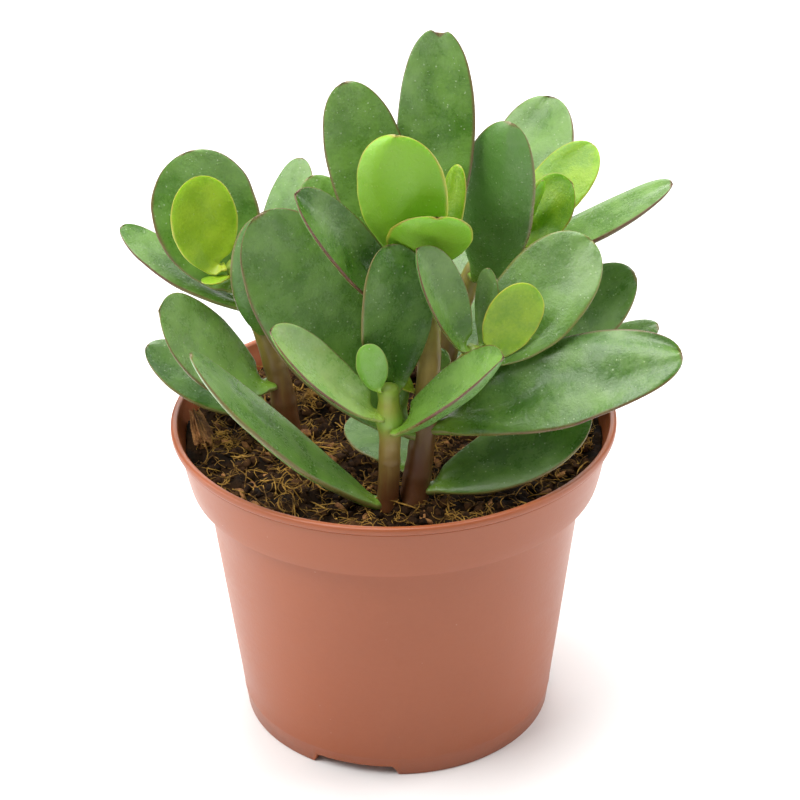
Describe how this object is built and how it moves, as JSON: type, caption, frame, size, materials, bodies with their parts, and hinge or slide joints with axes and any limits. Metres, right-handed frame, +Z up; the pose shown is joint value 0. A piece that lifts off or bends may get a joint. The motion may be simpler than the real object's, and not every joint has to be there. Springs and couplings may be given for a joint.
{
  "type": "potted jade plant",
  "caption": "Young jade plant with thick oval leaves in opposite pairs on stubby stems, in a tapered plastic nursery pot of coir soil.",
  "frame": {"origin": "centre of the pot's foot, on the surface the pot stands on", "axes": "+Z up along the pot's axis; the front, seen first, is -Y; +X is on the right seen from the front"},
  "size_m": [0.1453, 0.12, 0.1982],
  "materials": {
    "pot_plastic": "satin terracotta-brown plastic",
    "coir_soil": "damp peat and coir fibre",
    "stem": "smooth fleshy olive-tan stem, red-brown at the foot",
    "leaf": "softly glossy succulent leaf with pale dots and red-brown margins",
    "young_leaf": "softly glossy yellow-green young leaf with yellow margins"
  },
  "bodies": {
    "root": {"pot": "pot_plastic", "soil": "coir_soil", "stem_front": "stem", "stem_main": "stem", "stem_back": "stem", "stem_left": "stem", "leaf_front_upright": "leaf", "leaf_front_left": "young_leaf", "leaf_front_right": "leaf", "leaf_front_bud": "young_leaf", "leaf_front_foot": "leaf", "leaf_main_low_right": "leaf", "leaf_main_low_left": "leaf", "leaf_main_foot_right": "leaf", "leaf_main_foot_left": "leaf", "leaf_main_round": "leaf", "leaf_main_pale": "young_leaf", "leaf_main_striped": "leaf", "leaf_main_crown": "leaf", "leaf_main_crown_left": "leaf", "leaf_main_bright": "young_leaf", "leaf_main_bright_low": "young_leaf", "leaf_main_bright_back": "young_leaf", "leaf_main_hidden_left": "leaf", "leaf_main_pale_left": "leaf", "leaf_side_folded": "leaf", "leaf_side_glossy": "leaf", "leaf_side_bright": "young_leaf", "leaf_side_small": "leaf", "leaf_back_front": "leaf", "leaf_back_bright_low": "young_leaf", "leaf_back_bright": "young_leaf", "leaf_back_bud": "young_leaf", "leaf_back_far": "leaf", "leaf_back_long": "leaf", "leaf_back_under": "leaf", "leaf_back_right": "leaf", "leaf_back_foot_right": "leaf", "leaf_back_low_left": "leaf", "leaf_back_low_far": "leaf", "leaf_back_mid_left": "leaf", "leaf_back_foot_far": "leaf", "leaf_left_round": "leaf", "leaf_left_bright": "young_leaf", "leaf_left_bud": "young_leaf", "leaf_left_long": "leaf", "leaf_left_upright": "leaf", "leaf_left_low": "leaf", "leaf_left_foot": "leaf", "leaf_left_back": "leaf"}
  },
  "joints": []
}
